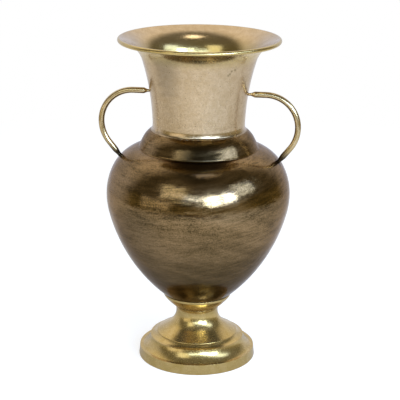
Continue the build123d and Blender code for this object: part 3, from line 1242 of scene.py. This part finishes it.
@dataclass
class TieStack:
    """Stud, plate, washer and nut that clamp the foot to the body."""

    steel: Material
    hole: float = 3.2
    stud_radius: float = 3.0
    stud_end: float = 10.3
    stud_top: float = 55.0
    stud_steps: int = 48
    chamfer: float = 0.5
    thread_pitch: float = 1.0
    thread_depth: float = 0.55
    thread_sink: float = 0.2
    thread_share: float = 0.45
    thread_steps: int = 24
    thread_start: float = 0.2
    thread_runout: float = 0.4
    thread_top: float = 25.0
    plate_radius: float = 41.6
    plate_top: float = 20.8
    plate_wall: float = 1.6
    plate_rim: float = 5.0
    plate_round: float = 0.5
    plate_steps: int = 128
    washer_radius: float = 7.0
    washer_foot: float = 17.8
    washer_top: float = 19.2
    washer_round: float = 0.25
    washer_steps: int = 64
    flats: float = 10.0
    flats_turn: float = 30.0
    nut_foot: float = 12.8
    nut_bore_gap: float = 0.05
    nut_core_inset: float = 0.2
    nut_ring_inset: float = 0.3
    nut_core_round: float = 0.3
    nut_round: float = 0.4

    def build(self) -> None:
        """Builds the four pieces of the stack."""
        self.washer()
        self.plate()
        self.nut()
        self.stud()

    def dress(self, name: str, mesh: Mesh) -> None:
        """Makes a mesh a steel piece that stands for its node."""
        piece(name, mesh, (self.steel,), (name,))

    def washer(self) -> None:
        """Turns the flat washer."""
        low, high = self.washer_foot, self.washer_top
        section = Section((self.hole, low)).line((self.washer_radius, low), (self.washer_radius, high))
        mesh = section.line((self.hole, high)).revolve(self.washer_steps)
        soften(mesh, self.washer_round)
        self.dress("tie_washer", mesh)

    def plate(self) -> None:
        """Turns the pressed plate with its rim turned down."""
        rim, top = self.plate_radius, self.plate_top
        low, under = top - self.plate_rim, top - self.plate_wall
        inner = rim - self.plate_wall
        section = Section((self.hole, top)).line((rim, top), (rim, low), (inner, low), (inner, under))
        mesh = section.line((self.hole, under)).revolve(self.plate_steps)
        soften(mesh, self.plate_round, segments=3)
        self.dress("clamp_plate", mesh)

    def thread(self, low: float, high: float) -> Mesh:
        """Spins a sharp ridge up a helix round the shank.

        Args:
            low: Height where the thread begins.
            high: Height where it ends.

        Returns:
            The mesh of the ridge, closed at both ends.
        """
        mesh = bmesh.new()
        root = self.stud_radius - self.thread_depth - self.thread_sink
        half = self.thread_pitch * self.thread_share
        corners = ((root, low), (self.stud_radius, low + half), (root, low + 2.0 * half))
        verts = [mesh.verts.new((radius * MM, 0.0, height * MM)) for radius, height in corners]
        face = mesh.faces.new(verts)
        turns = (high - low) / self.thread_pitch - 1.0
        steps = int(turns * self.thread_steps)
        bmesh.ops.spin(
            mesh,
            geom=[face, *face.edges, *face.verts],
            cent=ORIGIN,
            axis=UP_AXIS,
            angle=turns * math.tau,
            dvec=(0.0, 0.0, turns * self.thread_pitch * MM / steps),
            steps=steps,
        )
        bmesh.ops.recalc_face_normals(mesh, faces=mesh.faces[:])
        return mesh

    def stud(self) -> None:
        """Joins the shank under the floor of the body and its thread."""
        root = self.stud_radius - self.thread_depth
        low, high = self.stud_end, self.thread_top
        section = Section((0.0, low)).line((root - self.chamfer, low), (root, low + self.chamfer))
        section.line((root, high), (self.stud_radius, high + self.chamfer))
        section.line((self.stud_radius, self.stud_top), (0.0, self.stud_top))
        ridge = self.thread(low + self.thread_start, high + self.thread_runout)
        self.dress("tie_stud", self.together(section.revolve(self.stud_steps), ridge))

    def nut(self) -> None:
        """Puts a bevelled hexagon ring round a turned core with the bore."""
        low, high = self.nut_foot, self.washer_foot
        bore = self.stud_radius + self.nut_bore_gap
        wall = self.flats / 2.0 - self.nut_core_inset
        section = Section((bore, low)).line((wall, low), (wall, high), (bore, high))
        core = section.revolve(self.stud_steps)
        soften(core, self.nut_core_round)
        mesh = bmesh.new()
        for radius in (self.flats / math.sqrt(3.0), self.flats / 2.0 - self.nut_ring_inset):
            bmesh.ops.create_circle(mesh, cap_ends=False, segments=6, radius=radius * MM)
        turn = Matrix.Rotation(math.radians(self.flats_turn), 3, "Z")
        bmesh.ops.rotate(mesh, verts=mesh.verts[:], matrix=turn)
        bmesh.ops.bridge_loops(mesh, edges=mesh.edges[:])
        made = bmesh.ops.extrude_face_region(mesh, geom=mesh.faces[:])["geom"]
        verts = [part for part in made if isinstance(part, Vert)]
        bmesh.ops.translate(mesh, verts=verts, vec=(0.0, 0.0, (high - low) * MM))
        bmesh.ops.translate(mesh, verts=mesh.verts[:], vec=(0.0, 0.0, low * MM))
        bmesh.ops.recalc_face_normals(mesh, faces=mesh.faces[:])
        soften(mesh, self.nut_round, segments=3)
        self.dress("tie_nut", self.together(mesh, core))

    @staticmethod
    def together(*parts: Mesh) -> Mesh:
        """Puts several meshes into one.

        Args:
            parts: Meshes to put together.

        Returns:
            One mesh that holds them all.
        """
        whole = bmesh.new()
        for part in parts:
            carrier = bpy.data.meshes.new("carrier")
            part.to_mesh(carrier)
            part.free()
            whole.from_mesh(carrier)
            bpy.data.meshes.remove(carrier)
        return whole


def pointing(azimuth: float, elevation: float) -> Vector:
    """Direction at an azimuth, counted from -Y towards +X, and an elevation, both in degrees."""
    turn, lift = math.radians(azimuth), math.radians(elevation)
    return Vector((math.sin(turn) * math.cos(lift), -math.cos(turn) * math.cos(lift), math.sin(lift)))


@dataclass(frozen=True)
class Softbox:
    """Rectangular soft light that faces the vase."""

    name: str
    azimuth: float
    elevation: float
    distance: float
    width: float
    height: float
    watts: float
    tint: Colour = (1.0, 1.0, 1.0)
    target: float = 0.18

    def build(self) -> None:
        """Places the light."""
        data = bpy.data.lights.new(self.name, "AREA")
        data.shape = "RECTANGLE"
        data.size = self.width
        data.size_y = self.height
        data.energy = self.watts
        data.color = self.tint
        lamp = added(self.name, data)
        away = pointing(self.azimuth, self.elevation)
        lamp.location = Vector((0.0, 0.0, self.target)) + away * self.distance
        lamp.rotation_euler = away.to_track_quat("Z", "Y").to_euler()


@dataclass
class Studio:
    """White floor in a dim room with a white tent behind the vase, and soft lights in front."""

    floor_radius: float = 1.05
    floor_sides: int = 96
    floor_colour: float = 0.50
    floor_mottle: Point = (0.98, 1.0)
    floor_mottle_scale: float = 3.0
    floor_rough: float = 0.9
    floor_seen: float = 0.72
    floor_gloss: float = 0.62
    floor_shade: float = 0.30
    floor_shaded: Point = (0.06, 0.36)
    floor_left: Point = (-0.60, 0.0)
    floor_left_level: float = 0.84
    floor_right: Point = (0.05, 0.50)
    floor_right_level: float = 0.72
    # Painted shadow of the vase on the floor, seen only in the metal.
    shadow_spot: Place = (-0.38, -0.08, 0.0)
    shadow_reach: Point = (0.10, 0.36)
    shadow_level: float = 0.30
    room_light: float = 0.45
    room_high: Colour = (0.165, 0.150, 0.100)
    room_low: Colour = (0.34, 0.29, 0.12)
    room_edge: Point = (0.0, 0.25)
    tent_low: Colour = (0.80, 0.84, 0.98)
    tent_high: Colour = (1.20, 1.16, 1.10)
    tent_rise: Point = (0.25, 0.80)
    tent_azimuth: float = 202.0
    tent_lift: float = 10.0
    tent_edge: Point = (0.20, 0.62)
    daylight: Colour = (0.455, 0.635, 1.0)
    overcast: Colour = (0.88, 0.97, 1.0)

    def build(self) -> None:
        """Builds the floor, the room and the lights."""
        self.floor()
        self.room()
        for light in (
            Softbox("Key_softbox_left", 26.5, 16.8, 1.7, 0.46, 0.48, 15.0, self.daylight),
            Softbox("Key_softbox_right", 47.3, 19.4, 1.7, 0.49, 0.50, 21.0, self.daylight),
            Softbox("Wing_softbox", 4.0, 20.0, 1.7, 0.86, 0.24, 5.6, self.daylight),
            Softbox("Strip_softbox", 73.0, 30.0, 1.7, 0.76, 0.54, 5.6, self.daylight),
            Softbox("Top_softbox", 40.0, 80.0, 1.5, 0.40, 0.30, 1.3),
            Softbox("Side_softbox", -26.0, 29.0, 1.8, 0.83, 0.80, 3.8, self.overcast),
            Softbox("Low_panel", -45.0, 4.0, 1.7, 1.17, 0.50, 1.9),
        ):
            light.build()

    def floor(self) -> None:
        """Lays the round floor, white to the eye, with painted shade in the metal near the foot and at
        both sides, and a painted shadow at the left.
        """
        made = Finish("Floor_white")
        wiring = made.wiring
        paths = wiring.node("ShaderNodeLightPath").outputs
        mottle = wiring.noise(made.place, self.floor_mottle_scale, detail=2.0)
        grain = wiring.span(mottle, 0.0, 1.0, *self.floor_mottle)
        tone = wiring.blend(grain, grey(0.0), grey(self.floor_colour))
        wiring.put(tone, made.shader.inputs["Base Color"])
        made.shader.inputs["Roughness"].default_value = self.floor_rough
        made.shader.inputs["Specular IOR Level"].default_value = 0.0
        direct = wiring.sums("MAXIMUM", paths[Ray.CAMERA.value], paths[Ray.THROUGH.value])
        seen = wiring.sums("MULTIPLY", direct, self.floor_seen)
        side = wiring.node("ShaderNodeSeparateXYZ", {"Vector": made.place}).outputs["X"]
        # Painted shade in the floor as the metal sees it: dimmer near the foot and at both sides, with a
        # painted shadow at the left.
        level = wiring.span(made.away(ORIGIN), *self.floor_shaded, self.floor_shade, self.floor_gloss)
        for dimming in (
            wiring.span(side, *self.floor_left, self.floor_left_level, 1.0),
            wiring.span(made.away(self.shadow_spot), *self.shadow_reach, self.shadow_level, 1.0),
            wiring.span(side, *self.floor_right, 1.0, self.floor_right_level),
        ):
            level = wiring.sums("MULTIPLY", level, dimming)
        gloss = wiring.sums("MULTIPLY", paths[Ray.GLOSSY.value], level)
        made.shader.inputs["Emission Color"].default_value = opaque(grey(1.0))
        wiring.put(wiring.sums("ADD", seen, gloss), made.shader.inputs["Emission Strength"])
        mesh = bmesh.new()
        bmesh.ops.create_circle(
            mesh, cap_ends=True, segments=self.floor_sides, radius=self.floor_radius
        )
        data = bpy.data.meshes.new("Studio_floor")
        mesh.to_mesh(data)
        mesh.free()
        data.materials.append(made.material)
        floor = added("Studio_floor", data)

    def room(self) -> None:
        """Sets the world: white to the eye, a dim room with a white tent in the metal, even elsewhere."""
        world = bpy.data.worlds.new("Studio_room")
        bpy.context.scene.world = world
        world.use_nodes = True
        world.node_tree.nodes.clear()
        wiring = Wiring(world.node_tree)
        paths = wiring.node("ShaderNodeLightPath").outputs
        place = wiring.node("ShaderNodeTexCoord").outputs["Generated"]
        tent = wiring.node("ShaderNodeVectorMath", {0: place}, operation="DOT_PRODUCT")
        wiring.put(tuple(pointing(self.tent_azimuth, self.tent_lift)), tent.inputs[1])
        lift = wiring.node("ShaderNodeSeparateXYZ", {"Vector": place}).outputs["Z"]
        gloom = wiring.blend(wiring.span(lift, *self.room_edge), self.room_low, self.room_high)
        white = wiring.blend(wiring.span(lift, *self.tent_rise), self.tent_low, self.tent_high)
        mirrored = wiring.blend(wiring.span(tent.outputs["Value"], *self.tent_edge), gloom, white)
        light = wiring.blend(paths[Ray.GLOSSY.value], grey(self.room_light), mirrored)
        direct = wiring.sums("MAXIMUM", paths[Ray.CAMERA.value], paths[Ray.THROUGH.value])
        colour = wiring.blend(direct, light, grey(1.0))
        sky = wiring.node("ShaderNodeBackground", {"Color": colour, "Strength": 1.0})
        wiring.put(sky.outputs[0], wiring.node("ShaderNodeOutputWorld").inputs["Surface"])


@dataclass(frozen=True)
class PhotoCamera:
    """Camera at the photograph's viewing angle, for a square frame."""

    azimuth: float = 7.75
    distance: float = 1.2628
    height: float = 0.550
    pitch: float = 16.94
    yaw: float = 0.088
    roll: float = 0.585
    focal_pixels: float = 1312.3
    frame_pixels: float = 400.0
    sensor: float = 36.0
    clip: Point = (0.05, 50.0)

    def build(self) -> None:
        """Places the camera and makes it the scene's own."""
        data = bpy.data.cameras.new("Photo_camera")
        data.sensor_fit = "HORIZONTAL"
        data.sensor_width = self.sensor
        data.lens = self.focal_pixels / self.frame_pixels * self.sensor
        data.clip_start, data.clip_end = self.clip
        camera = added("Photo_camera", data)
        turn = Matrix.Rotation(math.radians(self.azimuth), 4, "Z")
        stand = Matrix.Translation((0.0, -self.distance, self.height))
        aim = Matrix.Rotation(math.radians(-self.yaw), 4, "Z")
        tilt = Matrix.Rotation(math.radians(90.0 - self.pitch), 4, "X")
        lean = Matrix.Rotation(math.radians(self.roll), 4, "Z")
        camera.matrix_world = turn @ stand @ aim @ tilt @ lean
        bpy.context.scene.camera = camera


def main() -> None:
    """Builds the vase from the foot up, then the studio round it."""
    logging.basicConfig(level=logging.INFO, format="%(name)s: %(message)s")
    pale_gold = GoldLeaf(
        grain=0.45,
        grain_scale=560.0,
        specks=0.5,
        nicks=NECK_NICKS,
        # Painted shade at the foot of the neck, in the crease against the collar.
        soot_and_shade_weight=0.3,
        soot_and_shade_below=(0.2395, 0.2425),
        # Painted shade under the lip.
        painted_shade_heights=(0.322, 0.306),
    ).make()
    lining = GoldLeaf(
        name="Gold_leaf_lining",
        # Painted shade down the throat.
        painted_shade=(0.50, 0.36, 0.125),
        painted_shade_heights=(0.308, 0.326),
        smooth=0.16,
        dull=0.24,
    ).make()
    foot_gold = GoldLeaf(
        name="Gold_leaf_deep",
        bright=(0.58, 0.41, 0.16),
        shade=(0.49, 0.337, 0.105),
        pore=(0.42, 0.284, 0.09),
        grain=0.15,
        metal=0.92,
        pit=0.00001,
    ).make()
    rod_gold = GoldLeaf(
        name="Gold_leaf_rod",
        bright=(0.57, 0.425, 0.225),
        shade=(0.47, 0.34, 0.15),
        wave=0.00005,
        line=0.000001,
        pit=0.000002,
        smooth=0.20,
        dull=0.23,
        soot_and_shade_below=(0.211, 0.224),
    ).make()
    bronze = WipedBronze().make()
    collar_bronze = WipedBronze(
        name="Wiped_bronze_collar", smooth=0.16, dull=0.25, coat=0.12, joint_dark_and_painted_shade=(0.030, 0.021, 0.008)
    ).make()
    steel = PlatedSteel().make()
    Foot(foot_gold).build()
    Body(bronze, collar_bronze).build()
    Neck(pale_gold, lining).build()
    Handles(rod_gold).build()
    TieStack(steel).build()
    Studio().build()
    PhotoCamera().build()
    bpy.context.scene.view_settings.view_transform = "Standard"


if __name__ == "__main__":
    main()
